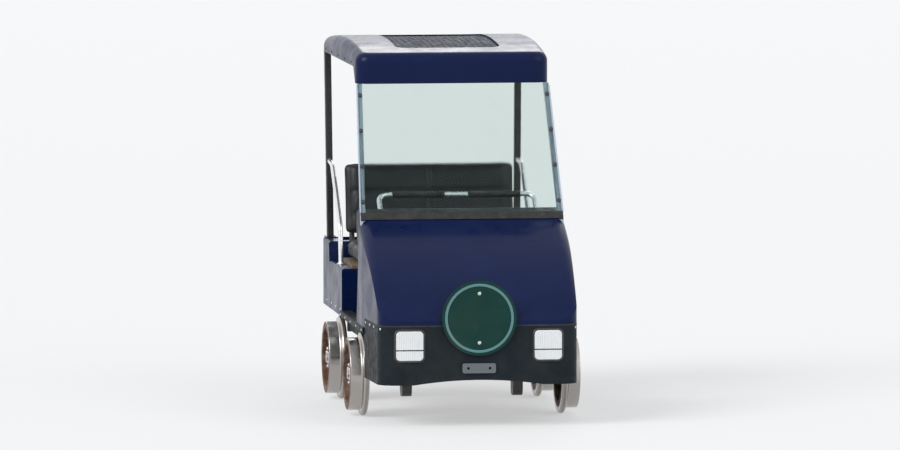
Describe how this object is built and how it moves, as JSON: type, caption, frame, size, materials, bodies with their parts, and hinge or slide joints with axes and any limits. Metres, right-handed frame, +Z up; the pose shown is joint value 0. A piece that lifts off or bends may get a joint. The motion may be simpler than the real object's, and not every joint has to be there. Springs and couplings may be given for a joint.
{
  "type": "self-drive rail car",
  "caption": "Light open two-seat car on flanged steel wheels, with a sloping cowl, clear windscreen, deep roof on rear struts, bench seat and cargo well.",
  "frame": {"origin": "on the floor under the middle of the car, level with the lowest points of the flanges", "axes": "the car faces -Y, +X is its left side, +Z is up"},
  "size_m": [1.18, 2.45, 1.8601],
  "materials": {
    "frame_steel": "satin",
    "wheel_steel": "worn",
    "case_metal": "matte",
    "exhaust_steel": "matte",
    "body_blue": "gloss",
    "bumper_dark": "satin",
    "inner_plastic": "satin",
    "tube_bright": "polished",
    "tube_black": "gloss",
    "pillar_pale": "gloss",
    "clear_screen": "clear",
    "seal_rubber": "matte",
    "lamp_white": "gloss",
    "lamp_red": "gloss",
    "board_green": "gloss",
    "seat_vinyl": "satin",
    "board_wood": "painted"
  },
  "bodies": {
    "car_body": {"chassis_rails": "frame_steel", "chassis_cross_members": "frame_steel", "end_beams": "frame_steel", "axle_pedestals": "frame_steel", "transaxle_case": "case_metal", "engine_block": "case_metal", "muffler": "exhaust_steel", "floor_pan": "inner_plastic", "side_sill_left": "bumper_dark", "side_sill_right": "bumper_dark", "front_bumper": "bumper_dark", "headlamp_left": "lamp_white", "headlamp_right": "lamp_white", "headboard_disc": "board_green", "headboard_bracket": "frame_steel", "front_tow_plate": "frame_steel", "front_cowl": "body_blue", "footwell_bulkhead": "inner_plastic", "dash": "inner_plastic", "grab_rail": "tube_bright", "pedals": "tube_black", "windscreen_pillars": "pillar_pale", "windscreen": "clear_screen", "windscreen_seal": "seal_rubber", "roof_shell": "body_blue", "rear_strut_left": "tube_black", "rear_strut_right": "tube_black", "hip_rail_left": "tube_bright", "hip_rail_right": "tube_bright", "rear_body": "body_blue", "body_brackets": "frame_steel", "seat_hinge_leaves": "frame_steel", "seat_back": "seat_vinyl", "seat_back_frame": "tube_black", "rear_hitch": "frame_steel", "tail_lamps": "lamp_red"},
    "front_wheelset": {"front_axle": "wheel_steel", "front_wheel_left": "wheel_steel", "front_wheel_right": "wheel_steel"},
    "rear_wheelset": {"rear_axle": "wheel_steel", "rear_wheel_left": "wheel_steel", "rear_wheel_right": "wheel_steel"},
    "seat_lid": {"seat_board": "board_wood", "seat_cushion": "seat_vinyl", "seat_hinge_pins": "frame_steel"}
  },
  "joints": [
    {"name": "front_axle_turn", "type": "hinge", "parent": "car_body", "child": "front_wheelset", "pos_m": [0, -0.475, 0.213], "axis": [1, 0, 0], "continuous": true},
    {"name": "rear_axle_turn", "type": "hinge", "parent": "car_body", "child": "rear_wheelset", "pos_m": [0, 0.475, 0.213], "axis": [1, 0, 0], "continuous": true},
    {"name": "seat_lid_hinge", "type": "hinge", "parent": "car_body", "child": "seat_lid", "pos_m": [0, 0.289, 0.692], "axis": [1, 0, 0], "range_deg": [0, 75]}
  ]
}
